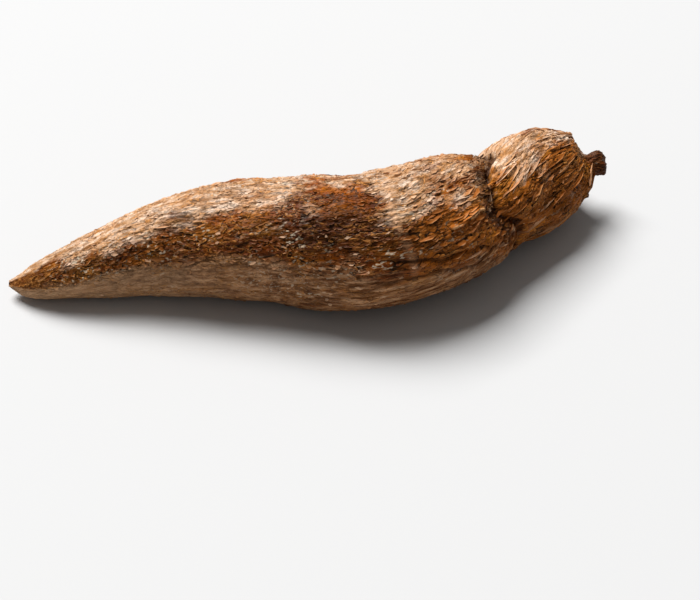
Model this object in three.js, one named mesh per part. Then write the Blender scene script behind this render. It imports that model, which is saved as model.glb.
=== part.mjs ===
// A whole cassava root: one storage root, washed, its stalk trimmed to a stub, lying on its side.
// It tapers to a thin tip, bends and swells at the belly, carries a healed scar ring, steps down
// at a shoulder into a tight neck, and ends in a round head with the short woody stub of its stalk.
// Millimetres. +X runs from the tip to the stalk, +Z is up, and the root lies on the plane Z = 0.
import * as THREE from "three";

// Driving dimensions
const SEGMENTS = 40; // faces round the root
const RINGS_PER_SPAN = 3; // rings from one station to the next
const SKIN_BROWN = 0x8a5a30;

// The growing line of the root. Each station gives where its middle is and its radius there.
const STATIONS = [
  { x: 0.0, y: 2.4, z: 7.4, radius: 1.4 }, // broken end of the thin tip
  { x: 3.0, y: 1.8, z: 7.4, radius: 3.4 },
  { x: 9.0, y: 0.2, z: 7.8, radius: 7.0 },
  { x: 20.0, y: -1.8, z: 10.6, radius: 11.0 },
  { x: 45.0, y: -3.8, z: 16.0, radius: 16.6 },
  { x: 69.0, y: -6.2, z: 21.2, radius: 21.6 },
  { x: 93.0, y: -11.0, z: 25.4, radius: 25.6 },
  { x: 117.0, y: -17.4, z: 27.8, radius: 28.0 },
  { x: 140.0, y: -25.4, z: 29.8, radius: 30.0 },
  { x: 158.0, y: -31.2, z: 30.6, radius: 30.8 }, // belly
  { x: 168.0, y: -33.2, z: 31.2, radius: 31.4 }, // healed scar ring
  { x: 180.0, y: -32.8, z: 31.4, radius: 31.8 },
  { x: 195.0, y: -30.2, z: 31.4, radius: 31.8 },
  { x: 205.0, y: -26.8, z: 31.0, radius: 31.5 },
  { x: 214.0, y: -22.8, z: 30.4, radius: 30.8 },
  { x: 221.5, y: -19.4, z: 29.5, radius: 29.9 },
  { x: 229.0, y: -15.8, z: 28.4, radius: 28.6 }, // shoulder
  { x: 235.5, y: -13.2, z: 26.6, radius: 25.2 },
  { x: 239.5, y: -10.2, z: 25.6, radius: 22.4 }, // neck
  { x: 243.5, y: -7.4, z: 25.4, radius: 23.6 },
  { x: 253.0, y: -2.4, z: 25.2, radius: 25.0 }, // head
  { x: 266.0, y: 2.4, z: 24.6, radius: 23.6 },
  { x: 277.0, y: 3.8, z: 24.8, radius: 19.0 },
  { x: 284.0, y: 3.6, z: 25.4, radius: 11.8 },
  { x: 286.5, y: 3.8, z: 26.0, radius: 7.0 }, // foot of the stalk
  { x: 290.0, y: 4.0, z: 26.8, radius: 5.4 },
  { x: 295.5, y: 4.2, z: 27.8, radius: 6.4 }, // trimmed end of the stalk
  { x: 296.5, y: 4.2, z: 28.0, radius: 5.2 },
];

// Slow swellings that keep the cross-section from being round: height as a share of the
// radius, waves along the whole root, waves round it, and where the first crest lies.
const SWELLINGS = [
  { height: 0.035, along: 1.5, round: 2, phase: 0.4 },
  { height: 0.022, along: 3.5, round: 3, phase: 2.1 },
  { height: 0.012, along: 6.0, round: 2, phase: 4.4 },
  { height: 0.010, along: 9.0, round: 4, phase: 1.0 },
];

// The neck runs aslant. On the side of the bulge it lies nearer the tip, and it kinks further still
// at one place. Angles are in radians, from the far side over the top.
const NECK_SLANT = { lead: 19, toward: 2.18, power: 3 };
const NECK_KINK = { lead: 7, toward: 2.62, width: 0.26 };
const SLANT_SETS_IN = [158, 205]; // along the root
const SLANT_ENDS = [222, 282];

const TURN = 2 * Math.PI;

const middle = new THREE.CatmullRomCurve3(
  STATIONS.map((s) => new THREE.Vector3(s.x, s.y, s.z)),
  false,
  "centripetal",
);
const girth = new THREE.CatmullRomCurve3(
  STATIONS.map((s) => new THREE.Vector3(s.radius, s.x, 0)),
  false,
  "centripetal",
);

function swelling(share, angle) {
  let sum = 0;
  for (const s of SWELLINGS) {
    sum += s.height * Math.cos(TURN * s.along * share + s.round * angle + s.phase);
  }
  return 1 + sum;
}

// How much nearer the tip the neck lies at this angle.
function neckLead(angle) {
  const facing = (1 + Math.cos(angle - NECK_SLANT.toward)) / 2;
  const off = (angle - NECK_KINK.toward) / NECK_KINK.width;
  return NECK_SLANT.lead * facing ** NECK_SLANT.power + NECK_KINK.lead * Math.exp(-off * off);
}

// Where x lies on the curves above, from 0 at the tip to 1 at the stalk.
function curveShare(x) {
  let i = 1;
  while (i < STATIONS.length - 1 && STATIONS[i].x < x) i++;
  const from = STATIONS[i - 1].x;
  return (i - 1 + (x - from) / (STATIONS[i].x - from)) / (STATIONS.length - 1);
}

// One ring of the skin, square to the growing line.
function ring(t) {
  const centre = middle.getPoint(t);
  const forward = middle.getTangent(t);
  const side = new THREE.Vector3(0, 0, 1).cross(forward).normalize();
  const up = forward.clone().cross(side);
  const slanted =
    THREE.MathUtils.smoothstep(centre.x, ...SLANT_SETS_IN) *
    (1 - THREE.MathUtils.smoothstep(centre.x, ...SLANT_ENDS));
  const share = centre.x / STATIONS.at(-1).x;
  const points = [];
  for (let i = 0; i < SEGMENTS; i++) {
    const angle = (TURN * i) / SEGMENTS;
    const ahead = curveShare(centre.x + slanted * neckLead(angle)) - curveShare(centre.x);
    const out = girth.getPoint(t + ahead).x * swelling(share, angle);
    const point = centre
      .clone()
      .addScaledVector(side, out * Math.cos(angle))
      .addScaledVector(up, out * Math.sin(angle));
    point.z = Math.max(point.z, 0);
    points.push(point);
  }
  return points;
}

// The closed skin: rings joined by triangles, with a fan at each end.
function skin() {
  const count = (STATIONS.length - 1) * RINGS_PER_SPAN + 1;
  const points = [];
  for (let i = 0; i < count; i++) points.push(...ring(i / (count - 1)));
  const faces = [];
  for (let i = 0; i < count - 1; i++) {
    for (let j = 0; j < SEGMENTS; j++) {
      const a = i * SEGMENTS + j;
      const b = i * SEGMENTS + ((j + 1) % SEGMENTS);
      const c = a + SEGMENTS;
      const d = b + SEGMENTS;
      faces.push(a, b, c, b, d, c);
    }
  }
  const tip = points.push(middle.getPoint(0)) - 1;
  const stalk = points.push(middle.getPoint(1)) - 1;
  const last = (count - 1) * SEGMENTS;
  for (let j = 0; j < SEGMENTS; j++) {
    const next = (j + 1) % SEGMENTS;
    faces.push(tip, next, j);
    faces.push(stalk, last + j, last + next);
  }
  const geometry = new THREE.BufferGeometry().setFromPoints(points);
  geometry.setIndex(faces);
  return geometry;
}

const geometry = skin();
geometry.computeBoundingBox();
const box = geometry.boundingBox;
geometry.translate(-(box.min.x + box.max.x) / 2, -(box.min.y + box.max.y) / 2, -box.min.z);
geometry.computeVertexNormals();

const bark = new THREE.MeshStandardMaterial({ color: SKIN_BROWN, roughness: 0.6, metalness: 0 });
const root = new THREE.Mesh(geometry, bark);
root.name = "cassava_root";

const part = new THREE.Group();
part.add(root);
export default part;
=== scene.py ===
# A whole cassava root, washed and waxed for sale, lying on its side on a pale table.
# Everything is in metres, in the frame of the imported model: +X from tip to stalk, +Z up, table at Z = 0.
import math

import bpy
import numpy as np
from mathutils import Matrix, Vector


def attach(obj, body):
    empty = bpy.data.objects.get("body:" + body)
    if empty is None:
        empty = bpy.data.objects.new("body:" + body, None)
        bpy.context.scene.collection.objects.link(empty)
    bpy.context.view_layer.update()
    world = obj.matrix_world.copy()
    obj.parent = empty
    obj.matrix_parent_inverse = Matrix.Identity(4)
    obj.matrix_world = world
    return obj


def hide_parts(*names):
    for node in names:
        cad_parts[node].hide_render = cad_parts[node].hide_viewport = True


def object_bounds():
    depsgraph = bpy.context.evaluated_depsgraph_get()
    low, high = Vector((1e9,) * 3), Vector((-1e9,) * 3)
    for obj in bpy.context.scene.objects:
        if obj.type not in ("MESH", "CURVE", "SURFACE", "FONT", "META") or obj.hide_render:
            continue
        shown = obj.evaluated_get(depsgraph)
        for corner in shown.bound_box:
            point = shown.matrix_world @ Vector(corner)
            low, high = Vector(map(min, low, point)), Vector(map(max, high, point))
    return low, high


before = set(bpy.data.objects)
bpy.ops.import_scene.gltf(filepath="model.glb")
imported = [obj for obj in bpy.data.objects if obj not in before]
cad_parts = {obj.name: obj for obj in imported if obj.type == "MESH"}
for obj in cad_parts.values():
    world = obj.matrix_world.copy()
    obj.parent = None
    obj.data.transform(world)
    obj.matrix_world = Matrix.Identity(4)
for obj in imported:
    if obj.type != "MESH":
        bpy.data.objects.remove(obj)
cad_low, cad_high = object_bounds()

MM = 0.001
TURN = 2 * math.pi
ROOT = "cassava_root"
TABLE = (-1.0, -1.0, cad_low.z)  # the lowest place that any point of the root may take
LENGTH = cad_high.x - cad_low.x
WIDTH = cad_high.y - cad_low.y

# The fine skin
RINGS = 338  # rings from tip to stalk
STEPS = 288  # faces round each ring
LINE_POINTS = 260  # points on the growing line, before the rings are spaced
SLOPE_SPACING = 1.15  # how much closer the rings lie on the head, neck and ends
END_GAP = 0.4 * MM  # how far inside the CAD solid's ends the growing line stops
POLE_HEIGHT = 0.3 * MM  # how far the middle of each closed end stands out
HEADING_REACH = 3 * MM  # how far each way the line is looked along for its heading
LINE_EVENING = 5.0  # reach in points of the line
ROUND_EVENING = 4.0  # reach in faces round a ring
ALONG_EVENING = 1.2  # reach in rings
NECK_EVENING = 5.0  # reach in faces round a ring
OVERLAP = 24  # faces that a ring is carried on past its cut while it is evened out
MEAN_STRIDE = 12  # every so many faces are enough for a ring's mean radius
BAKE_MARGIN = 0.004  # the rim left free round the unrolled skin

# Landmarks, as shares of the growing line from tip to stalk
NECK_LIES_BETWEEN = (0.68, 0.84)
FOOT_LIES_BEYOND = 0.87
FOOT_RADIUS = 8.5 * MM  # where the head has narrowed to this, the stalk begins
SCAR_SHARE = 0.588


# ---------------------------------------------------------------- small helpers


def linear(hex_colour):
    """A colour as a designer writes it, such as 8a5a30, turned to linear light."""
    channels = [int(hex_colour[i : i + 2], 16) / 255 for i in (0, 2, 4)]
    light = [c / 12.92 if c <= 0.04045 else ((c + 0.055) / 1.055) ** 2.4 for c in channels]
    return (*light, 1.0)


def add(tree, kind, inputs=(), **settings):
    """Adds a node with its settings, and gives each named or numbered input a value or a link."""
    node = tree.nodes.new(kind)
    for name, value in settings.items():
        setattr(node, name, value)
    for key, value in dict(inputs).items():
        if isinstance(value, bpy.types.NodeSocket):
            tree.links.new(value, node.inputs[key])
        else:
            node.inputs[key].default_value = value
    return node


def put_in_scene(name, data):
    """A new object with this mesh, lamp or camera, in the scene."""
    new_object = bpy.data.objects.new(name, data)
    bpy.context.scene.collection.objects.link(new_object)
    return new_object


def bell(value, middle, reach):
    """1 at middle, falling smoothly to almost nothing one and a half reaches away."""
    return np.exp(-(((value - middle) / reach) ** 2))


def ease(value, start, end):
    """0 before start, 1 after end, and a smooth turn between them."""
    share = np.clip((value - start) / (end - start), 0, 1)
    return share * share * (3 - 2 * share)


# ---------------------------------------------------------------- the fine skin


def triangles_of(node_object):
    """The CAD solid's triangles as an n by 3 by 3 array."""
    mesh = node_object.data
    mesh.calc_loop_triangles()
    corners = np.array([t.vertices[:] for t in mesh.loop_triangles])
    places = np.empty(len(mesh.vertices) * 3)
    mesh.vertices.foreach_get("co", places)
    return places.reshape(-1, 3)[corners]


def cut(triangles, point, normal):
    """The points where a plane crosses the edges of the triangles."""
    height = (triangles - point) @ normal
    points = []
    for a, b in ((0, 1), (1, 2), (2, 0)):
        crossing = (height[:, a] > 0) != (height[:, b] > 0)
        share = height[crossing, a] / (height[crossing, a] - height[crossing, b])
        start = triangles[crossing, a]
        points.append(start + share[:, None] * (triangles[crossing, b] - start))
    return np.concatenate(points)


def smooth(values, reach):
    """Evens a row of values out along its first axis with a bell of that reach, in rows."""
    span = int(3 * reach) + 1
    weights = np.exp(-0.5 * (np.arange(-span, span + 1) / reach) ** 2)
    weights /= weights.sum()
    before = 2 * values[:1] - values[span:0:-1]
    after = 2 * values[-1:] - values[-2 : -span - 2 : -1]
    padded = np.concatenate([before, values, after])
    return sum(w * padded[i : i + len(values)] for i, w in enumerate(weights))


def smooth_round(values, reach):
    """Evens values out round the root: their first axis runs once round it and joins up with itself."""
    carried_on = np.concatenate([values[-OVERLAP:], values, values[:OVERLAP]])
    return smooth(carried_on, reach)[OVERLAP:-OVERLAP]


def growing_line(triangles):
    """The middle of the root from tip to stalk, as points a fixed step apart in X."""
    middles = []
    for x in np.linspace(cad_low.x + END_GAP, cad_high.x - END_GAP, LINE_POINTS):
        points = cut(triangles, np.array([x, 0, 0]), np.array([1.0, 0, 0]))
        low, high = points.min(0), points.max(0)
        middles.append((low + high) / 2)
    middles = np.array(middles)
    middles[:, 1:] = smooth(middles[:, 1:], LINE_EVENING)
    return middles


def ring_radii(triangles, middle, forward, angles):
    """How far the skin is from the middle at each angle, in the plane square to the growing line. It also
    gives that plane's own sideways and upward directions."""
    side = np.cross([0, 0, 1.0], forward)
    side /= np.linalg.norm(side)
    up = np.cross(forward, side)
    points = cut(triangles, middle, forward) - middle
    across = points @ side
    high = points @ up
    radius = np.hypot(across, high)
    near = radius < WIDTH / 2  # a plane may meet the bent root again further off
    angle = np.arctan2(high, across)[near] % TURN
    order = np.argsort(angle)
    return np.interp(angles, angle[order], radius[near][order], period=TURN), side, up


def skin_grid(triangles):
    """Rings of skin points from the CAD solid, evenly spaced over the surface. Each value of the result
    has one row for each ring and one column for each face round it."""
    line = growing_line(triangles)
    steps = np.linalg.norm(np.diff(line, axis=0), axis=1)
    along = np.concatenate([[0], np.cumsum(steps)])
    angles = np.arange(STEPS) * TURN / STEPS

    def on_line(s):
        return np.stack([np.interp(s, along, line[:, i]) for i in range(3)], -1)

    def heading(s):
        after = on_line(np.minimum(s + HEADING_REACH, along[-1]))
        before = on_line(np.maximum(s - HEADING_REACH, 0))
        return (after - before) / np.linalg.norm(after - before, axis=-1, keepdims=True)

    # Rings lie closer where the skin turns steeply, so that the faces stay even.
    coarse = np.linspace(0, along[-1], 4 * LINE_POINTS)
    means = []
    for s in coarse:
        few, _, _ = ring_radii(triangles, on_line(s), heading(s), angles[::MEAN_STRIDE])
        means.append(few.mean())
    slope = np.abs(np.gradient(means, coarse))
    spent = np.concatenate([[0], np.cumsum(np.hypot(1, SLOPE_SPACING * slope)[1:])])
    places = np.interp(np.linspace(0, spent[-1], RINGS), spent, coarse)

    middles = on_line(places)
    headings = heading(places)
    radii = np.empty((RINGS, STEPS))
    sides = np.empty((RINGS, 3))
    ups = np.empty((RINGS, 3))
    for i in range(RINGS):
        radii[i], sides[i], ups[i] = ring_radii(triangles, middles[i], headings[i], angles)
    # The facets of the CAD solid are evened out round the root, and a little along it.
    radii = smooth_round(radii.T, ROUND_EVENING).T
    radii = smooth(radii, ALONG_EVENING)
    cosine = np.cos(angles)[None, :, None]
    sine = np.sin(angles)[None, :, None]
    outward = cosine * sides[:, None] + sine * ups[:, None]
    return {
        "points": middles[:, None] + radii[..., None] * outward,
        "round": cosine * ups[:, None] - sine * sides[:, None],
        "along": np.repeat(places[:, None], STEPS, axis=1),
        "heading": np.repeat(headings[:, None], STEPS, axis=1),
        "radii": radii,
        "angles": np.repeat(angles[None], RINGS, axis=0),
    }


def landmarks(grid):
    """Where the neck, the stalk's foot and the healed scar lie along the growing line. The neck runs
    aslant, so it has its own place at each angle round the root."""
    along = grid["along"][:, 0]
    mean = grid["radii"].mean(axis=1)
    span = along[-1]
    shoulder, crown = NECK_LIES_BETWEEN
    near_neck = (along > shoulder * span) & (along < crown * span)
    # The neck is where the skin lies furthest inside the straight line from the shoulder to the head.
    stretch = along[near_neck]
    profile = grid["radii"][near_neck]
    share = ((stretch - stretch[0]) / (stretch[-1] - stretch[0]))[:, None]
    sunk = profile - (1 - share) * profile[0] - share * profile[-1]
    neck = smooth_round(stretch[sunk.argmin(axis=0)], NECK_EVENING)
    beyond = along > FOOT_LIES_BEYOND * span
    foot = along[beyond][np.abs(mean[beyond] - FOOT_RADIUS).argmin()]
    return {"span": span, "neck": neck, "foot": foot, "scar": SCAR_SHARE * span}


def grain_of(grid):
    """Where each point lies along and across the grain, and which way the grain runs there. The grain
    climbs round the root a little on its way to the stalk."""
    along = grid["along"][:, 0]
    (slant,) = along_root(along / along[-1], SLANT)
    radius = np.maximum(grid["radii"].mean(axis=1), LEAST_GRAIN_RADIUS)
    climb = np.concatenate([[0], np.cumsum((np.tan(slant) / radius)[1:] * np.diff(along))])
    turned = grid["angles"] + climb[:, None]
    grain = np.stack([grid["along"], grid["radii"] * np.cos(turned), grid["radii"] * np.sin(turned)], -1)
    slant = slant[:, None, None]
    return grain, np.cos(slant) * grid["heading"] - np.sin(slant) * grid["round"]


def make_skin(grid, marks):
    """The closed skin mesh, with the grain coordinates and the regions that the bark follows."""
    mesh = bpy.data.meshes.new("bark_skin")
    points = grid["points"].reshape(-1, 3)
    first_pole = grid["points"][0].mean(axis=0) - [POLE_HEIGHT, 0, 0]
    last_pole = grid["points"][-1].mean(axis=0) + [POLE_HEIGHT, 0, 0]
    points = np.concatenate([points, [first_pole, last_pole]])
    ring = np.arange(STEPS)
    after = (ring + 1) % STEPS
    faces = []
    for i in range(RINGS - 1):
        a = i * STEPS
        faces += np.stack([a + ring, a + after, a + STEPS + after, a + STEPS + ring], -1).tolist()
    tip, crown = RINGS * STEPS, RINGS * STEPS + 1
    last = (RINGS - 1) * STEPS
    faces += np.stack([np.full(STEPS, tip), after, ring], -1).tolist()
    faces += np.stack([np.full(STEPS, crown), last + ring, last + after], -1).tolist()
    mesh.from_pydata(points.tolist(), [], faces)
    mesh.polygons.foreach_set("use_smooth", np.ones(len(faces), bool))
    bake_map(mesh)

    def store(name, values, poles, kind="FLOAT"):
        layer = mesh.attributes.new(name, kind, "POINT")
        flat = np.concatenate([values.reshape(RINGS * STEPS, -1), np.asarray(poles).reshape(2, -1)])
        layer.data.foreach_set("vector" if kind == "FLOAT_VECTOR" else "value", flat.ravel())

    grain, heading = grain_of(grid)
    store("grain", grain, [[grain[0, 0, 0], 0, 0], [grain[-1, 0, 0], 0, 0]], "FLOAT_VECTOR")
    store("heading", heading, heading[[0, -1], 0], "FLOAT_VECTOR")
    for name, region in regions(grid, marks).items():
        store(name, region, region[[0, -1], 0])
    mesh.update()
    return mesh


def bake_map(mesh):
    """A map that unrolls the skin: along the root one way, round it the other, and cut underneath, where
    it lies on the table."""
    layer = mesh.uv_layers.new(name="OFBake")
    corners = np.empty(len(mesh.loops), int)
    mesh.loops.foreach_get("vertex_index", corners)
    row, column = corners // STEPS, corners % STEPS
    u = row / (RINGS - 1)
    v = ((column - STEPS * 3 // 4) % STEPS) / STEPS
    pole = corners >= RINGS * STEPS
    # A face that straddles the cut keeps to one side of it. The middle of an end takes its face's side.
    starts = np.empty(len(mesh.polygons), int)
    counts = np.empty(len(mesh.polygons), int)
    mesh.polygons.foreach_get("loop_start", starts)
    mesh.polygons.foreach_get("loop_total", counts)
    face = np.repeat(np.arange(len(starts)), counts)
    side = np.where(pole, np.nan, v)
    low = np.full(len(starts), np.inf)
    high = np.full(len(starts), -np.inf)
    np.fmin.at(low, face, side)
    np.fmax.at(high, face, side)
    wraps = (high - low)[face] > 0.5
    v = np.where(wraps & (v < 0.5), v + 1, v)
    high = np.where(high - low > 0.5, 1.0, high)
    v = np.where(pole, high[face], v)
    u = np.where(pole, np.where(corners == RINGS * STEPS, 0.0, 1.0), u)
    inside = BAKE_MARGIN + (1 - 2 * BAKE_MARGIN) * np.stack([u, v], -1)
    layer.data.foreach_set("uv", inside.ravel())


# Each table runs along the root. Its first column is the share of the growing line, from 0 at the tip to 1
# at the stalk. Degrees run round the root: 90 is the top, 180 the side of the bulge and 270 underneath.

# The dusty underside, painted paler as bounce light from the table: where it begins, in degrees, and how
# strong it is
DUST_AND_BOUNCE = [
    (0.00, 168, 1.3),
    (0.12, 158, 1.2),
    (0.35, 150, 1.0),
    (0.50, 158, 0.9),
    (0.60, 168, 0.9),
    (0.70, 172, 0.85),
    (0.76, 180, 0.5),
    (0.82, 182, 0.5),
    (1.00, 190, 0.5),
]
# The back that has dried pale, made paler still by a painted highlight from the light above: its middle,
# in degrees, and how strong it is
DRY_AND_HIGHLIGHT = [
    (0.00, 52, 1.1),
    (0.07, 60, 1.15),
    (0.18, 84, 1.2),
    (0.38, 76, 0.85),
    (0.48, 62, 0.5),
    (0.55, 57, 0.45),
    (0.585, 74, 1.3),
    (0.63, 72, 0.8),
    (0.70, 78, 0.7),
    (0.74, 80, 0.3),
    (0.765, 80, 0.3),
    (0.78, 82, 1.1),
    (0.83, 80, 1.1),
    (0.88, 72, 0.75),
    (1.00, 72, 0.3),
]
# The painted shade along the side, where it turns away from the light: its middle, in degrees, and how
# strong it is
PAINTED_SHADE = [
    (0.00, 142, 0.0),
    (0.10, 142, 1.0),
    (0.30, 140, 0.85),
    (0.42, 134, 0.95),
    (0.53, 131, 1.5),
    (0.60, 136, 0.9),
    (0.66, 140, 0.0),
    (1.00, 140, 0.0),
]
# How far the grain climbs from the straight line to the stalk, in radians
SLANT = [(0.00, 0.04), (0.54, 0.06), (0.62, 0.26), (0.78, 0.26), (0.84, 0.34), (1.00, 0.34)]
LEAST_GRAIN_RADIUS = 8 * MM  # on the thin ends the grain climbs as if they had this radius


def along_root(share, table):
    """Reads each column of a table, after its first, at these shares of the growing line."""
    places, *columns = zip(*table)
    return [np.interp(share, places, column) for column in columns]


# The two creases low on the side of the bulge: degrees round the root where they start, and their reach
UPPER_CREASE = (160, 1.9)
CREASE_LIP = (166, 3.0)
LOWER_CREASE = (175, 1.9)
CREASE_DRIFT = 12  # degrees that they drift on their way to the neck
CREASE_STARTS = 14 * MM  # before the scar


def creases(s, degrees, marks):
    """Two thin creases from the scar to the neck, with a low lip between them. They sway and drift."""
    start, end = marks["scar"] - CREASE_STARTS, marks["neck"] - 1 * MM
    sway = 2.0 * np.sin(TURN * s / (31 * MM)) + 1.0 * np.sin(TURN * s / (12 * MM))
    drift = CREASE_DRIFT * ease(s, start, end)
    angle, reach = UPPER_CREASE
    upper = bell(degrees, angle + drift + sway, reach)
    angle, reach = LOWER_CREASE
    lower = bell(degrees, angle + drift - sway, reach)
    angle, reach = CREASE_LIP
    lip = bell(degrees, angle + drift, reach)
    fade_in = ease(s, start, start + 12 * MM)
    fade_out = 1 - ease(s, end - 10 * MM, end)
    return (upper + lower - 0.5 * lip) * fade_in * fade_out


# Small nodules at the foot of the stalk: millimetres before the foot, and degrees round the root
NODULES = [(4.0, 172), (7.0, 188), (4.5, 205), (6.0, 60), (4.0, 320), (8.0, 262)]
NODULE_REACH = (1.5 * MM, 6)  # along the root, and degrees round it


def nodules(s, degrees, marks):
    """A few small round swellings where the stalk leaves the head."""
    reach, turned = NODULE_REACH
    total = 0
    for back, angle in NODULES:
        total = total + bell(s, marks["foot"] - back * MM, reach) * bell(degrees, angle, turned)
    return total


SEAM_STARTS = 17 * MM  # past the scar
SEAM_LENGTH = 18 * MM
SEAM_TURNS = (145, 135)  # degrees round the root at its two ends
SEAM_REACH = 1.3  # degrees


def seam(s, degrees, marks):
    """A thin raised seam that runs aslant over the side of the bulge."""
    start = marks["scar"] + SEAM_STARTS
    end = start + SEAM_LENGTH
    sway = 0.8 * np.sin(TURN * s / (7 * MM))
    first, last = SEAM_TURNS
    slanted = bell(degrees, first + (last - first) * (s - start) / (end - start) + sway, SEAM_REACH)
    fade_in = ease(s, start - 1 * MM, start + 1 * MM)
    fade_out = 1 - ease(s, end - 1 * MM, end + 1 * MM)
    return slanted * fade_in * fade_out


# Where the other kinds of bark lie. Lengths are measured along the root.
TIP_FADES = (8 * MM, 45 * MM)
THIN_END_FADES = (0.12, 0.5)  # shares of the growing line
STALK_BLEND = 2 * MM
HEAD_BLEND = 5 * MM
SCAR_BLEND = (4 * MM, 8 * MM)  # before the scar and past it
SCAR_REACH = 2.2 * MM
FOLD_BACK = 5 * MM  # how far before the neck the shoulder's skin folds
FOLD_REACH = 6.5 * MM
GROOVE_REACH = 1.8 * MM
GROOVE_WIDENS = 0.8 * MM  # on the far side
RAGGED_BACK = 10 * MM  # how far before the neck the ragged flakes hang
RAGGED_REACH = 4.5 * MM
STRIPS_SET_IN = (2 * MM, 6 * MM)  # past the neck
# How far round the root each one reaches, in degrees
DUST_AND_BOUNCE_BLEND = (12, 22)  # before the place where it begins, and past it
DUST_AND_BOUNCE_ENDS = (300, 335)
DRY_AND_HIGHLIGHT_REACH = 46
PAINTED_SHADE_REACH = 29
# Which way some of them face most, in degrees: the middle and the reach
SCAR_FACES = (120, 50)
FOLD_FACES = (125, 70)
FAR_SIDE = (60, 40)


def regions(grid, marks):
    """How strongly each kind of bark shows at each point of the skin: 0 is not at all, and 1 is fully."""
    s = grid["along"]
    share = s / marks["span"]
    degrees = np.degrees(grid["angles"])
    neck, foot, scar = marks["neck"], marks["foot"], marks["scar"]

    tip = 1 - ease(s, *TIP_FADES)
    stalk = ease(s, foot - STALK_BLEND, foot + STALK_BLEND)
    head = ease(s, neck, neck + HEAD_BLEND) * (1 - stalk)
    past_scar = ease(s, scar - SCAR_BLEND[0], scar + SCAR_BLEND[1])

    # Dust along the underside, painted paler there for the light that the table throws back up.
    start, strength = along_root(share, DUST_AND_BOUNCE)
    dust_and_bounce_light = ease(degrees, start - DUST_AND_BOUNCE_BLEND[0], start + DUST_AND_BOUNCE_BLEND[1])
    dust_and_bounce_light *= 1 - ease(degrees, *DUST_AND_BOUNCE_ENDS)
    dust_and_bounce_light *= 1 - stalk
    dust_and_bounce_light *= strength
    # The pale back: drier cork, and a painted highlight where the light above falls.
    middle, strength = along_root(share, DRY_AND_HIGHLIGHT)
    dry_and_highlight = bell(degrees, middle, DRY_AND_HIGHLIGHT_REACH) * strength
    # Painted shade along the side that turns away from the light.
    middle, strength = along_root(share, PAINTED_SHADE)
    painted_shade_band = bell(degrees, middle, PAINTED_SHADE_REACH) * strength

    # The scar and the groove wander a little along the root as they run round it.
    sway = 1.6 * MM * np.sin(2 * grid["angles"] + 1.0) + 0.8 * MM * np.sin(5 * grid["angles"])
    # The neck groove, which also gets painted shade in the bark's colour.
    groove_reach = GROOVE_REACH + GROOVE_WIDENS * bell(degrees, *FAR_SIDE)
    groove_with_painted_shade = bell(s, neck + 0.6 * sway, groove_reach)
    # The shoulder's fold, whose fissures also get painted shade in the bark's colour.
    fold_with_painted_shade = bell(s, neck - FOLD_BACK, FOLD_REACH) * (1 - dust_and_bounce_light)
    open_bark = (1 - tip) * (1 - stalk) * (1 - ease(groove_with_painted_shade, 0.2, 0.7))
    return {
        "tip": tip,
        "thin_end": 1 - ease(share, *THIN_END_FADES),
        "dust_and_bounce_light": dust_and_bounce_light,
        "dry_and_highlight": dry_and_highlight,
        "painted_shade_band": painted_shade_band,
        "crease_with_painted_shade": creases(s, degrees, marks),
        "nodule": nodules(s, degrees, marks),
        "scar": bell(s, scar + sway, SCAR_REACH) * (0.3 + 0.7 * bell(degrees, *SCAR_FACES)),
        "seam": seam(s, degrees, marks),
        "fold_with_painted_shade": fold_with_painted_shade * (0.35 + 0.65 * bell(degrees, *FOLD_FACES)),
        "groove_with_painted_shade": groove_with_painted_shade,
        "head": head,
        "warm": np.maximum(head, 0.8 * past_scar) * (1 - stalk),
        "stalk": stalk,
        # The rest is how thickly each kind of flake lies. Soil and weather wore most of them off.
        "ragged_flakes": open_bark * bell(s, neck - RAGGED_BACK, RAGGED_REACH) * (1 - dust_and_bounce_light),
        "fine_flakes": open_bark
        * (1 - 0.85 * np.minimum(dust_and_bounce_light, 1))
        * (1 - 0.5 * past_scar)
        * (1 - 0.5 * head)
        * (1 - 0.4 * np.minimum(dry_and_highlight, 1)),
        "coarse_flakes": open_bark * (1 - head) * (1 - dust_and_bounce_light) * (0.04 + 0.96 * past_scar),
        "strips": ease(s, neck + STRIPS_SET_IN[0], neck + STRIPS_SET_IN[1]) * head * (1 - 0.7 * dust_and_bounce_light),
    }


# ---------------------------------------------------------------- the bark pattern
# Relief and colour share it, so that they follow each other.

# Length of a pattern's spots along the root, their width round it, and how many layers each spot shows
FLAKES = (8 * MM, 3.4 * MM, 7.0)
CHIPS = (3.6 * MM, 1.5 * MM, 6.0)
CRUMBS = (1.7 * MM, 0.8 * MM, 5.0)
STRIPS = (18 * MM, 2.6 * MM, 6.0)
SHINGLES = (9 * MM, 3.2 * MM, 4.0)
CELL_TO_SPOT = 2.2  # a noise cell holds about this many spots' widths


def mottle(tree, grain, length, width, detail=3.0, distortion=0.0):
    """Uneven spots, about that long along the root and that wide round it. It works in a geometry tree and
    in a material."""
    stretch = (width / length, 1.0, 1.0)
    stretched = add(tree, "ShaderNodeVectorMath", {0: grain, 1: stretch}, operation="MULTIPLY")
    noise = {
        "Vector": stretched.outputs[0],
        "Scale": 1 / (CELL_TO_SPOT * width),
        "Detail": detail,
        "Roughness": 0.55,
        "Distortion": distortion,
    }
    return add(tree, "ShaderNodeTexNoise", noise).outputs[0]


def cork_layers(tree, grain, length, width, layers):
    """Thin layers of cork that overlap like peeling paper. Each rises to a free edge and drops to the next
    one: 0 just past an edge, 1 on it."""
    slow = mottle(tree, grain, length, width, distortion=0.5)
    steps = add(tree, "ShaderNodeMath", {0: slow, 1: layers}, operation="MULTIPLY")
    return add(tree, "ShaderNodeMath", {0: steps.outputs[0]}, operation="FRACT").outputs[0]


# ---------------------------------------------------------------- the relief of the bark


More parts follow.
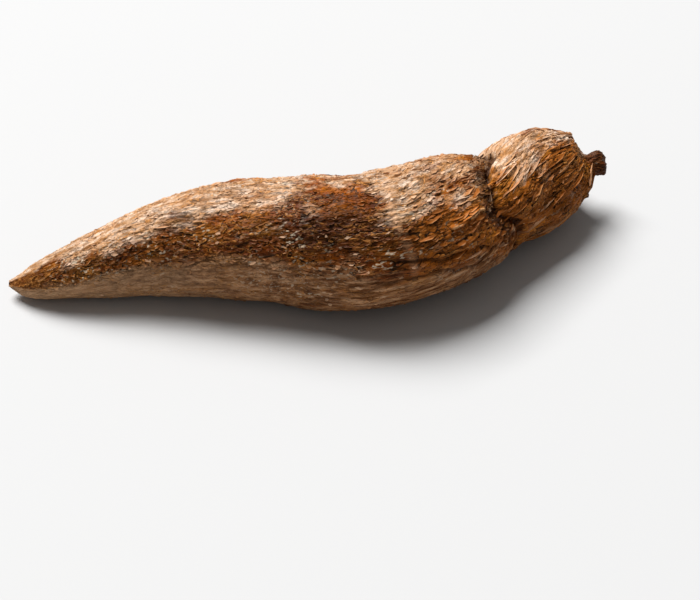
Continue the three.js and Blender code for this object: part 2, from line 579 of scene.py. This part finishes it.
def new_geometry_tree(name, sizes):
    """A geometry tree with a geometry and a material input, and one number input for each named size. It
    also gives the values of those inputs and the output node."""
    tree = bpy.data.node_groups.new(name, "GeometryNodeTree")
    tree.interface.new_socket("Geometry", in_out="INPUT", socket_type="NodeSocketGeometry")
    for label in sizes:
        tree.interface.new_socket(label, in_out="INPUT", socket_type="NodeSocketFloat")
    tree.interface.new_socket("Material", in_out="INPUT", socket_type="NodeSocketMaterial")
    tree.interface.new_socket("Geometry", in_out="OUTPUT", socket_type="NodeSocketGeometry")
    return tree, add(tree, "NodeGroupInput").outputs, add(tree, "NodeGroupOutput")


def grow(piece, tree, sizes, material):
    """Runs a geometry tree on a piece with its sizes, and keeps the result as the piece's plain mesh."""
    modifier = piece.modifiers.new(tree.name, "NODES")
    modifier.node_group = tree
    wanted = {**sizes, "Material": material}
    for item in tree.interface.items_tree:
        if item.in_out == "INPUT" and item.name in wanted:
            modifier[item.identifier] = wanted[item.name]
    evaluated = piece.evaluated_get(bpy.context.evaluated_depsgraph_get())
    mesh = bpy.data.meshes.new_from_object(evaluated)
    piece.modifiers.remove(modifier)
    piece.data = mesh


# How far each pattern moves the skin outwards
RELIEF = {
    "Lump height": 2.2 * MM,
    "Ridge height": 1.0 * MM,
    "Flake lift": 0.8 * MM,
    "Chip lift": 0.55 * MM,
    "Strip lift": 1.3 * MM,
    "Fibre height": 0.9 * MM,
    "Knob height": 2.4 * MM,
    "Nodule height": 1.8 * MM,
    "Scar height": 0.9 * MM,
    "Seam height": 1.5 * MM,
    "Shingle lift": 1.8 * MM,
    "Groove depth": -2.4 * MM,
    "Crease depth": -1.2 * MM,
}
WORN_RELIEF = 0.4  # how much of the relief is left on the tip and the dusty side


def relief_tree():
    """Pushes the skin out and in: lumps, lengthwise ridges, layers of cork, strips on the head, the scar,
    the folds of the shoulder, the groove of the neck and the fibres of the stalk."""
    tree, size, result = new_geometry_tree("bark_relief", RELIEF)
    wanted = {"Name": "grain"}
    grain = add(tree, "GeometryNodeInputNamedAttribute", wanted, data_type="FLOAT_VECTOR").outputs[0]
    region = {
        name: add(tree, "GeometryNodeInputNamedAttribute", {"Name": name}, data_type="FLOAT").outputs[0]
        for name in ("tip", "dust_and_bounce_light", "head", "stalk", "nodule", "fold_with_painted_shade", "scar", "seam", "groove_with_painted_shade", "crease_with_painted_shade")
    }
    # How rough the bark is: fully on the back and belly, less on the tip and where soil wore it smooth.
    worn_by = {0: region["tip"], 1: region["dust_and_bounce_light"]}
    worn = add(tree, "ShaderNodeMath", worn_by, operation="MAXIMUM").outputs[0]
    limits = {"Value": worn, "To Min": 1.0, "To Max": WORN_RELIEF}
    rough = add(tree, "ShaderNodeMapRange", limits).outputs[0]
    body = add(tree, "ShaderNodeMath", {0: 1.0, 1: region["head"]}, operation="SUBTRACT").outputs[0]
    layered = add(tree, "ShaderNodeMath", {0: rough, 1: body}, operation="MULTIPLY").outputs[0]

    lumps = mottle(tree, grain, 16 * MM, 12 * MM, detail=1.0)
    ridges = mottle(tree, grain, 9 * MM, 2.7 * MM, distortion=0.35)
    fibres = mottle(tree, grain, 9 * MM, 0.9 * MM)
    knobs = mottle(tree, grain, 2.2 * MM, 1.8 * MM)
    total = 0.0
    # Each pattern, the level of it that stays where the CAD solid is, its height and where it counts
    for pattern, middle, height, weight in (
        (lumps, 0.5, "Lump height", 1.0),
        (ridges, 0.5, "Ridge height", rough),
        (cork_layers(tree, grain, *FLAKES), 0.6, "Flake lift", layered),
        (cork_layers(tree, grain, *CHIPS), 0.6, "Chip lift", rough),
        (cork_layers(tree, grain, *STRIPS), 0.0, "Strip lift", region["head"]),
        (fibres, 0.5, "Fibre height", region["stalk"]),
        (knobs, 0.5, "Knob height", region["stalk"]),
        (region["nodule"], 0.0, "Nodule height", 1.0),
        (cork_layers(tree, grain, *SHINGLES), 0.4, "Shingle lift", region["fold_with_painted_shade"]),
        (region["scar"], 0.0, "Scar height", 1.0),
        (region["seam"], 0.0, "Seam height", 1.0),
        (region["groove_with_painted_shade"], 0.0, "Groove depth", 1.0),
        (region["crease_with_painted_shade"], 0.0, "Crease depth", 1.0),
    ):
        level = add(tree, "ShaderNodeMath", {0: pattern, 1: middle}, operation="SUBTRACT").outputs[0]
        scaled = {0: level, 1: size[height]}
        raised = add(tree, "ShaderNodeMath", scaled, operation="MULTIPLY").outputs[0]
        summed = {0: raised, 1: weight, 2: total}
        total = add(tree, "ShaderNodeMath", summed, operation="MULTIPLY_ADD").outputs[0]

    normal = add(tree, "GeometryNodeInputNormal").outputs[0]
    push = add(tree, "ShaderNodeVectorMath", {0: normal, "Scale": total}, operation="SCALE").outputs[0]
    place = add(tree, "GeometryNodeInputPosition").outputs[0]
    moved = add(tree, "ShaderNodeVectorMath", {0: place, 1: push}, operation="ADD").outputs[0]
    clear = add(tree, "ShaderNodeVectorMath", {0: moved, 1: TABLE}, operation="MAXIMUM").outputs[0]
    keep = {"Geometry": size["Geometry"], "Name": "outward", "Value": normal}
    kept = add(tree, "GeometryNodeStoreNamedAttribute", keep, data_type="FLOAT_VECTOR")
    shaped = add(tree, "GeometryNodeSetPosition", {"Geometry": kept.outputs[0], "Position": clear})
    finish = {"Geometry": shaped.outputs[0], "Material": size["Material"]}
    dressed = add(tree, "GeometryNodeSetMaterial", finish)
    tree.links.new(dressed.outputs[0], result.inputs[0])
    return tree


# ---------------------------------------------------------------- loose flakes

FLAKE_MESH = {"Segments": 10, "Rings": 3, "Radius": 1.0}  # few faces, as there are thousands of flakes
FLAKE_TAPER = 0.75  # how much narrower a flake's ends are
HELD_EDGE, FREE_EDGE = -0.7, 0.9  # across a flake, where its curl sets in and where it is full


def one_flake(tree):
    """A flat closed flake with pointed ends, two across. It remembers how far each point is from the edge
    that holds on (rise), and whether it is on the outer or the inner face (face)."""
    ball = add(tree, "GeometryNodeMeshUVSphere", FLAKE_MESH)
    place = add(tree, "GeometryNodeInputPosition")
    x, y, z = add(tree, "ShaderNodeSeparateXYZ", {0: place.outputs[0]}).outputs
    x_squared = add(tree, "ShaderNodeMath", {0: x, 1: x}, operation="MULTIPLY").outputs[0]
    tapered = {0: x_squared, 1: -FLAKE_TAPER, 2: 1.0}
    taper = add(tree, "ShaderNodeMath", tapered, operation="MULTIPLY_ADD").outputs[0]
    narrow = add(tree, "ShaderNodeMath", {0: y, 1: taper}, operation="MULTIPLY").outputs[0]
    outline = add(tree, "ShaderNodeCombineXYZ", {0: x, 1: narrow, 2: 0.0}).outputs[0]
    limits = {"Value": narrow, "From Min": HELD_EDGE, "From Max": FREE_EDGE}
    rise = add(tree, "ShaderNodeMapRange", limits).outputs[0]
    flake = ball.outputs["Mesh"]
    for name, value in (("rise", rise), ("face", z)):
        keep = {"Geometry": flake, "Name": name, "Value": value}
        flake = add(tree, "GeometryNodeStoreNamedAttribute", keep).outputs[0]
    return add(tree, "GeometryNodeSetPosition", {"Geometry": flake, "Position": outline}).outputs[0]


FLAKE_SIZES = (
    "Flakes per square metre",
    "Share between clumps",
    "Length",
    "Width",
    "Thickness",
    "Lift",
    "Turn by chance",
    "Seed",
)
CLUMP_SIZE = 13 * MM
CLUMP_EDGE = (0.42, 0.58)  # levels of the clump noise where flakes grow thin and where they lie thick
LENGTH_BY_CHANCE = {2: 0.35, 3: 1.5}  # shortest and longest, as shares of the stated length
WIDTH_BY_CHANCE = {2: 0.5, 3: 1.4}
FRONT_BY_CHANCE = {2: -0.35, 3: 0.35}  # an outward Y between these leaves the free edge to chance
TEAR_SIZE = 1.0 * MM  # how far apart the tears of a flake's outline are
TEAR_DEPTH = 2.4 * MM
CURL_POWER = 1.6  # 1 is a straight lift, and more keeps it flat for longer
LEAST_LIFT = 0.25  # of the stated lift, for the flattest flake


def flake_tree(region_name):
    """Scatters thin flakes over one region of the skin. Each lies along the grain, held by its upper edge,
    with the lower edge curled free, and follows the skin under it."""
    tree, size, result = new_geometry_tree("flakes_" + region_name, FLAKE_SIZES)
    stored = {
        name: add(tree, "GeometryNodeInputNamedAttribute", {"Name": name}, data_type=kind).outputs[0]
        for kind, names in (
            ("FLOAT_VECTOR", ("grain", "outward", "heading")),
            ("FLOAT", (region_name, "rise", "face", "tint")),
        )
        for name in names
    }
    grain, outward = stored["grain"], stored["outward"]

    # Flakes lie in clumps, and each has a tint of its own.
    noise = {"Vector": grain, "Scale": 1 / CLUMP_SIZE, "Detail": 2.0}
    clumps = add(tree, "ShaderNodeTexNoise", noise).outputs[0]
    thin, thick = CLUMP_EDGE
    limits = {"Value": clumps, "From Min": thin, "From Max": thick, "To Min": size["Share between clumps"]}
    dense = add(tree, "ShaderNodeMapRange", limits).outputs[0]
    clumped = {0: stored[region_name], 1: dense}
    wanted = add(tree, "ShaderNodeMath", clumped, operation="MULTIPLY").outputs[0]
    counted = {0: wanted, 1: size["Flakes per square metre"]}
    density = add(tree, "ShaderNodeMath", counted, operation="MULTIPLY").outputs[0]
    spread = {"Mesh": size["Geometry"], "Density": density, "Seed": size["Seed"]}
    points = add(tree, "GeometryNodeDistributePointsOnFaces", spread)
    tint = add(tree, "FunctionNodeRandomValue", {"Seed": 11}).outputs[1]
    keep = {"Geometry": points.outputs["Points"], "Name": "tint", "Value": tint}
    tinted = add(tree, "GeometryNodeStoreNamedAttribute", keep).outputs[0]

    # Laid flat on the skin, the long way along the root and the free edge down, then turned by chance.
    stood = add(tree, "FunctionNodeAlignRotationToVector", {"Vector": outward}, axis="Z").outputs[0]
    facing = {"Rotation": stood, "Vector": stored["heading"]}
    laid = add(tree, "FunctionNodeAlignRotationToVector", facing, axis="X", pivot_axis="Z").outputs[0]
    chance = add(tree, "FunctionNodeRandomValue", {**FRONT_BY_CHANCE, "Seed": 3}).outputs[1]
    depth = add(tree, "ShaderNodeSeparateXYZ", {0: outward}).outputs[1]
    front = add(tree, "ShaderNodeMath", {0: depth, 1: chance}, operation="LESS_THAN").outputs[0]
    half_turn = add(tree, "ShaderNodeMath", {0: front, 1: math.pi}, operation="MULTIPLY").outputs[0]
    swing = add(tree, "FunctionNodeRandomValue", {2: -1.0, 3: 1.0, "Seed": 4}).outputs[1]
    swings = {0: swing, 1: size["Turn by chance"], 2: half_turn}
    angle = add(tree, "ShaderNodeMath", swings, operation="MULTIPLY_ADD").outputs[0]
    turn = add(tree, "ShaderNodeCombineXYZ", {2: angle}).outputs[0]
    turned = {"Rotation": laid, "Rotate By": turn}
    swung = add(tree, "FunctionNodeRotateRotation", turned, rotation_space="LOCAL").outputs[0]

    # Each has its own length and width. The flake being copied is two across, hence the halves.
    longer = add(tree, "FunctionNodeRandomValue", {**LENGTH_BY_CHANCE, "Seed": 5}).outputs[1]
    wider = add(tree, "FunctionNodeRandomValue", {**WIDTH_BY_CHANCE, "Seed": 6}).outputs[1]
    length = add(tree, "ShaderNodeMath", {0: size["Length"], 1: longer}, operation="MULTIPLY").outputs[0]
    width = add(tree, "ShaderNodeMath", {0: size["Width"], 1: wider}, operation="MULTIPLY").outputs[0]
    both = add(tree, "ShaderNodeCombineXYZ", {0: length, 1: width}).outputs[0]
    halves = add(tree, "ShaderNodeVectorMath", {0: both, "Scale": 0.5}, operation="SCALE").outputs[0]
    copies = {"Points": tinted, "Instance": one_flake(tree), "Rotation": swung, "Scale": halves}
    placed = add(tree, "GeometryNodeInstanceOnPoints", copies).outputs[0]
    real = add(tree, "GeometryNodeRealizeInstances", {0: placed}).outputs[0]

    # The outline is torn a little. Then every point goes to the skin right under it, and out by its lift.
    here = add(tree, "GeometryNodeInputPosition").outputs[0]
    noise = {"Vector": here, "Scale": 1 / TEAR_SIZE, "Detail": 2.0}
    ragged = add(tree, "ShaderNodeTexNoise", noise).outputs["Color"]
    centred = {0: ragged, 1: (0.5, 0.5, 0.5)}
    off = add(tree, "ShaderNodeVectorMath", centred, operation="SUBTRACT").outputs[0]
    tears = {0: off, 1: (TEAR_DEPTH, TEAR_DEPTH, TEAR_DEPTH), 2: here}
    torn = add(tree, "ShaderNodeVectorMath", tears, operation="MULTIPLY_ADD").outputs[0]
    under, out = (
        add(
            tree,
            "GeometryNodeSampleNearestSurface",
            {"Mesh": size["Geometry"], "Sample Position": torn, "Value": value},
            data_type="FLOAT_VECTOR",
        ).outputs[0]
        for value in (here, outward)
    )
    curl = add(tree, "ShaderNodeMath", {0: stored["rise"], 1: CURL_POWER}, operation="POWER").outputs[0]
    free = add(tree, "ShaderNodeMath", {0: curl, 1: size["Lift"]}, operation="MULTIPLY").outputs[0]
    own = add(tree, "ShaderNodeMapRange", {"Value": stored["tint"], "To Min": LEAST_LIFT}).outputs[0]
    lifted = add(tree, "ShaderNodeMath", {0: free, 1: own}, operation="MULTIPLY").outputs[0]
    layers = {0: stored["face"], 1: size["Thickness"], 2: lifted}
    thick = add(tree, "ShaderNodeMath", layers, operation="MULTIPLY_ADD").outputs[0]
    push = add(tree, "ShaderNodeVectorMath", {0: out, "Scale": thick}, operation="SCALE").outputs[0]
    ends = add(tree, "ShaderNodeVectorMath", {0: under, 1: push}, operation="ADD").outputs[0]
    clear = add(tree, "ShaderNodeVectorMath", {0: ends, 1: TABLE}, operation="MAXIMUM").outputs[0]
    shaped = add(tree, "GeometryNodeSetPosition", {"Geometry": real, "Position": clear}).outputs[0]
    finish = {"Geometry": shaped, "Material": size["Material"]}
    dressed = add(tree, "GeometryNodeSetMaterial", finish)
    tree.links.new(dressed.outputs[0], result.inputs[0])
    return tree


def scatter(name, skin, sizes, material):
    """A piece of flakes on the region of the finished skin that has the piece's name."""
    piece = put_in_scene(name, skin.data.copy())
    grow(piece, flake_tree(name), sizes, material)
    piece.data.name = name
    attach(piece, "root")


# ---------------------------------------------------------------- materials


def new_material(name):
    """A material with an empty node tree, and that tree."""
    material = bpy.data.materials.new(name)
    material.use_nodes = True
    tree = material.node_tree
    tree.nodes.clear()
    return material, tree


def overlay(tree, colour, covers):
    """Lays colours over a colour in turn, each with its own share."""
    for share, cover in covers:
        mix = add(tree, "ShaderNodeMix", {"Factor": share, 6: colour, 7: cover}, data_type="RGBA")
        colour = mix.outputs[2]
    return colour


def shown(tree, *fades):
    """How strongly something shows. Each fade is a value, where it sets in, where it is full and how
    strong it is there. Several fades are multiplied."""
    total = 1.0
    for value, start, end, strength in fades:
        limits = {"Value": value, "From Min": start, "From Max": end, "To Max": strength}
        fade = add(tree, "ShaderNodeMapRange", limits).outputs[0]
        total = add(tree, "ShaderNodeMath", {0: total, 1: fade}, operation="MULTIPLY").outputs[0]
    return total


BROKEN_EDGE = (1.3, 1.65)  # levels of a region and its spots together, where it sets in and is full


def region_edge(tree, name, spots, strength):
    """Where a region shows, with its edge broken up by spots."""
    region = add(tree, "ShaderNodeAttribute", attribute_name=name).outputs["Fac"]
    broken = {0: spots, 1: 2.0, 2: region}
    total = add(tree, "ShaderNodeMath", broken, operation="MULTIPLY_ADD").outputs[0]
    return shown(tree, (total, *BROKEN_EDGE, strength))


def ramp(node, stops):
    """Sets a colour ramp's places and hex colours, and gives its colour."""
    elements = node.color_ramp.elements
    while len(elements) < len(stops):
        elements.new(0.5)
    for element, (place, hex_colour) in zip(elements, stops):
        element.position = place
        element.color = linear(hex_colour)
    return node.outputs[0]


def bark_colour(tree, grain):
    """Brown cork in uneven patches. The back is paler, partly drier cork and partly a painted highlight.
    Painted shade darkens the side and the shoulder, and the underside has a soil film lightened by painted
    bounce light.
    """
    spots = mottle(tree, grain, 9 * MM, 3.5 * MM, detail=5.0)
    patches = mottle(tree, grain, 12 * MM, 7 * MM, detail=4.0)
    fine = mottle(tree, grain, 4 * MM, 1.2 * MM, detail=4.0)
    lines = mottle(tree, grain, 4.5 * MM, 0.9 * MM, detail=6.0)
    brown, dried_and_highlit, soil = (
        ramp(add(tree, "ShaderNodeValToRGB", {"Fac": pattern}), stops)
        for pattern, stops in (
            (patches, [(0.32, "401a04"), (0.45, "7c3906"), (0.56, "a4560c"), (0.70, "c07a20")]),
            (fine, [(0.35, "ae7c4e"), (0.5, "d8ae88"), (0.65, "f4dac2")]),
            (lines, [(0.38, "573218"), (0.5, "956743"), (0.62, "c49872")]),
        )
    )
    warm, tip, painted_shade_band, fold_with_painted_shade, thin_end = (
        add(tree, "ShaderNodeAttribute", attribute_name=name).outputs["Fac"]
        for name in ("warm", "tip", "painted_shade_band", "fold_with_painted_shade", "thin_end")
    )
    # The underside: a soil film, lightened as painted bounce light from the table, most of all towards the
    # thin end.
    dust_and_bounce_colour = overlay(
        tree,
        soil,
        [
            (shown(tree, (patches, 0.52, 0.40, 0.35)), linear("5a3519")),
            (shown(tree, (thin_end, 0.0, 1.0, 0.5)), linear("c49e78")),
        ],
    )
    return overlay(
        tree,
        brown,
        [
            # Painted shade along the side that turns away from the light.
            (shown(tree, (painted_shade_band, 0.1, 1.2, 0.9)), linear("381503")),
            (shown(tree, (warm, 0.0, 1.0, 0.45)), linear("b46c26")),
            (shown(tree, (tip, 0.1, 0.8, 0.85)), linear("522806")),
            # The pale back: drier cork, with a painted highlight over it.
            (region_edge(tree, "dry_and_highlight", spots, 0.85), dried_and_highlit),
            # The underside: soil film and painted bounce light.
            (region_edge(tree, "dust_and_bounce_light", spots, 0.9), dust_and_bounce_colour),
            # Painted shade in the fissures of the shoulder's fold.
            (shown(tree, (fold_with_painted_shade, 0.2, 0.9, 0.85)), linear("2c1204")),
        ],
    )


def cork_bark():
    """Cassava periderm: thin layered cork, grown and then waxed. To the eye it is warm brown layers with
    painted shadow in the gaps and paler lifted edges, partly bleached and partly a painted highlight.
    Where it lay in the soil it has a soil film, lightened by painted bounce light, and it has a faint
    gloss."""
    material, tree = new_material("waxed_cork_bark")
    grain = add(tree, "ShaderNodeAttribute", attribute_name="grain").outputs["Vector"]
    region = {
        name: add(tree, "ShaderNodeAttribute", attribute_name=name).outputs["Fac"]
        for name in ("tip", "dust_and_bounce_light", "dry_and_highlight", "scar", "seam", "fold_with_painted_shade", "crease_with_painted_shade", "head", "stalk")
    }
    flake, chip, crumb, strip, shingle = (
        cork_layers(tree, grain, *sizes) for sizes in (FLAKES, CHIPS, CRUMBS, STRIPS, SHINGLES)
    )
    large = add(tree, "ShaderNodeMix", {"Factor": region["head"], 2: flake, 3: strip}).outputs[0]
    large = add(tree, "ShaderNodeMix", {"Factor": region["fold_with_painted_shade"], 2: large, 3: shingle}).outputs[0]

    # Lifted edges are bleached pale and carry a painted highlight, and just under an edge lies a painted
    # shadow. Both fade on the underside.
    spots = mottle(tree, grain, 7 * MM, 4 * MM)
    clear_of_underside = (region["dust_and_bounce_light"], 1.6, 0.3, 1.0)
    pale = 0.0
    painted_shadow = 0.0
    for height, strength in ((large, 1.0), (chip, 0.8), (crumb, 0.6)):
        edge = shown(tree, (height, 0.70, 1.0, strength))
        pale = add(tree, "ShaderNodeMath", {0: edge, 1: pale}, operation="ADD").outputs[0]
        under = shown(tree, (height, 0.30, 0.06, strength))
        painted_shadow = add(tree, "ShaderNodeMath", {0: under, 1: painted_shadow}, operation="MAXIMUM").outputs[0]
    left = shown(tree, (spots, 0.42, 0.62, 0.8), clear_of_underside)
    pale = add(
        tree, "ShaderNodeMath", {0: pale, 1: left}, operation="MULTIPLY", use_clamp=True
    ).outputs[0]
    left = shown(tree, clear_of_underside, (region["dry_and_highlight"], 1.9, 0.2, 1.0), (region["tip"], 1.3, 0.2, 1.0))
    painted_shadow = add(tree, "ShaderNodeMath", {0: painted_shadow, 1: left}, operation="MULTIPLY").outputs[0]

    # Small pale specks of lime and dried wax, in loose groups, but none on the head.
    speck = shown(
        tree,
        (mottle(tree, grain, 1.1 * MM, 0.7 * MM, detail=2.0), 0.58, 0.66, 1.0),
        (mottle(tree, grain, 14 * MM, 9 * MM, detail=2.0), 0.50, 0.60, 0.8),
        clear_of_underside,
        (region["head"], 1.0, 0.0, 1.0),
        (region["tip"], 0.9, 0.3, 1.0),
    )
    colour = overlay(
        tree,
        bark_colour(tree, grain),
        [
            # Lifted edges: bleached cork with a painted highlight.
            (pale, linear("c68442")),
            # Painted shadow just under each lifted edge.
            (painted_shadow, linear("1c0b03")),
            (speck, linear("d4c2a8")),
            (shown(tree, (region["scar"], 0.3, 1.0, 0.5)), linear("d0a078")),
            (shown(tree, (region["seam"], 0.3, 0.9, 0.8)), linear("d8a878")),
            # Painted shade in the creases.
            (shown(tree, (region["crease_with_painted_shade"], 0.2, 0.9, 0.6)), linear("2a1408")),
            # Painted shade in the groove of the neck.
            (region_edge(tree, "groove_with_painted_shade", spots, 0.85), linear("361808")),
            (shown(tree, (region["stalk"], 0.0, 1.0, 0.75)), linear("402012")),
        ],
    )

    # Relief that is finer than the mesh: crumbs, chips and hair-thin lines.
    lines = mottle(tree, grain, 3 * MM, 0.6 * MM, detail=5.0)
    height = chip
    for pattern, share in ((crumb, 0.6), (lines, 1.2)):
        parts = {0: pattern, 1: share, 2: height}
        height = add(tree, "ShaderNodeMath", parts, operation="MULTIPLY_ADD").outputs[0]
    bump = add(tree, "ShaderNodeBump", {"Strength": 0.8, "Distance": 0.5 * MM, "Height": height})
    shader = add(
        tree,
        "ShaderNodeBsdfPrincipled",
        {
            "Base Color": colour,
            "Roughness": shown(tree, (spots, 0.0, 1.0, 0.9)),
            "IOR": 1.45,
            "Specular IOR Level": 0.12,
            "Specular Tint": linear("f0c8a0"),
            "Coat Weight": 0.05,
            "Coat Roughness": 0.2,
            "Normal": bump.outputs[0],
        },
    )
    add(tree, "ShaderNodeOutputMaterial", {"Surface": shader.outputs[0]})
    return material


def dry_flake():
    """Loose cork, desiccated and thin. To the eye it is brown like the bark around it at the edge that
    holds on, and bleached where it curls free, with a painted highlight on that free edge."""
    material, tree = new_material("dry_cork_flake")
    grain = add(tree, "ShaderNodeAttribute", attribute_name="grain").outputs["Vector"]
    rise, tint, dry_and_highlight = (
        add(tree, "ShaderNodeAttribute", attribute_name=name).outputs["Fac"]
        for name in ("rise", "tint", "dry_and_highlight")
    )
    # The free edge: bleached cork with a painted highlight, paler still on the pale back.
    edge = overlay(tree, linear("dca470"), [(shown(tree, (dry_and_highlight, 0.3, 0.8, 1.0)), linear("ecd0b4"))])
    colour = overlay(
        tree,
        bark_colour(tree, grain),
        [
            (shown(tree, (tint, 0.7, 0.0, 0.5)), linear("2c1205")),
            (shown(tree, (tint, 0.75, 1.0, 0.2)), linear("b8702a")),
            (shown(tree, (rise, 0.70, 0.95, 1.0), (tint, 0.1, 1.0, 0.9)), edge),
            (shown(tree, (tint, 0.94, 0.97, 0.35)), linear("d8bca0")),
        ],
    )
    shader = add(
        tree,
        "ShaderNodeBsdfPrincipled",
        {"Base Color": colour, "Roughness": 0.55, "Specular IOR Level": 0.12},
    )
    add(tree, "ShaderNodeOutputMaterial", {"Surface": shader.outputs[0]})
    return material


def pale_table():
    """A matt painted board. To the eye it is an even pale face with no shine."""
    material, tree = new_material("matt_painted_board")
    paint = {"Base Color": linear("c4c4c4"), "Roughness": 0.9, "IOR": 1.3}
    shader = add(tree, "ShaderNodeBsdfPrincipled", paint)
    add(tree, "ShaderNodeOutputMaterial", {"Surface": shader.outputs[0]})
    return material


# ---------------------------------------------------------------- table, light and camera


TABLE_REACH = 3.0  # from the middle to each edge
SOFTBOX_PLACE = (-1.8, 3.5, 7.2)
SOFTBOX_SIDE = 5.0
SOFTBOX_POWER = 1250.0
SKY_STRENGTH = 0.22
CAMERA_TURN = math.radians(-13)
CAMERA_HEIGHT = math.radians(42)
CAMERA_DISTANCE = 0.9
CAMERA_AIM = (0.030 * LENGTH, -0.185 * WIDTH, cad_low.z)  # a little right of the root and in front of it
LENS = 96.9  # millimetres
SENSOR_WIDTH = 36  # millimetres


def lay_table():
    """A flat pale table under the root, as large as any view needs."""
    mesh = bpy.data.meshes.new("table_top")
    sides = ((-1, -1), (1, -1), (1, 1), (-1, 1))
    corners = [(x * TABLE_REACH, y * TABLE_REACH, cad_low.z) for x, y in sides]
    mesh.from_pydata(corners, [], [(0, 1, 2, 3)])
    mesh.materials.append(pale_table())
    table = put_in_scene("table_top", mesh)


def light_scene():
    """One large softbox behind the root and above it, and a dim pale sky."""
    world = bpy.data.worlds.new("studio")
    bpy.context.scene.world = world
    world.use_nodes = True
    sky = world.node_tree.nodes["Background"]
    sky.inputs["Color"].default_value = linear("f6f5f3")
    sky.inputs["Strength"].default_value = SKY_STRENGTH
    lamp = bpy.data.lights.new("back_softbox", "AREA")
    lamp.size = SOFTBOX_SIDE
    lamp.energy = SOFTBOX_POWER
    softbox = put_in_scene("back_softbox", lamp)
    softbox.location = SOFTBOX_PLACE
    softbox.rotation_euler = Vector(SOFTBOX_PLACE).to_track_quat("Z", "Y").to_euler()
    bpy.context.scene.view_settings.view_transform = "Standard"


def set_camera():
    """Looks down at the root from in front of its bulge."""
    data = bpy.data.cameras.new("camera")
    data.lens = LENS
    data.sensor_width = SENSOR_WIDTH
    level = math.cos(CAMERA_HEIGHT)
    back = Vector(
        (
            math.sin(CAMERA_TURN) * level,
            -math.cos(CAMERA_TURN) * level,
            math.sin(CAMERA_HEIGHT),
        )
    )
    camera = put_in_scene("camera", data)
    camera.location = Vector(CAMERA_AIM) + CAMERA_DISTANCE * back
    camera.rotation_euler = back.to_track_quat("Z", "Y").to_euler()
    bpy.context.scene.camera = camera


# ---------------------------------------------------------------- the scene

FLAKE_THICKNESS = 0.1 * MM
# Flakes per square metre, how many of them lie between the clumps, as a share, then length, width and lift
# in millimetres, and how far they turn by chance, in radians
FLAKE_PIECES = {
    "fine_flakes": (260000.0, 0.3, 3.2, 1.1, 0.6, 0.35),
    "coarse_flakes": (90000.0, 0.08, 8.0, 1.5, 1.3, 0.28),
    "ragged_flakes": (80000.0, 0.5, 7.0, 2.2, 1.5, 0.45),
    "strips": (30000.0, 0.4, 15.0, 1.5, 1.0, 0.14),
}

set_camera()
light_scene()
lay_table()

grid = skin_grid(triangles_of(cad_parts[ROOT]))
marks = landmarks(grid)
skin = put_in_scene("bark_skin", make_skin(grid, marks))
grow(skin, relief_tree(), RELIEF, cork_bark())
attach(skin, "root")
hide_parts(ROOT)

flake_finish = dry_flake()
for seed, (name, (density, share, length, width, lift, swing)) in enumerate(FLAKE_PIECES.items()):
    sizes = {
        "Flakes per square metre": density,
        "Share between clumps": share,
        "Length": length * MM,
        "Width": width * MM,
        "Thickness": FLAKE_THICKNESS,
        "Lift": lift * MM,
        "Turn by chance": swing,
        "Seed": float(seed),
    }
    scatter(name, skin, sizes, flake_finish)
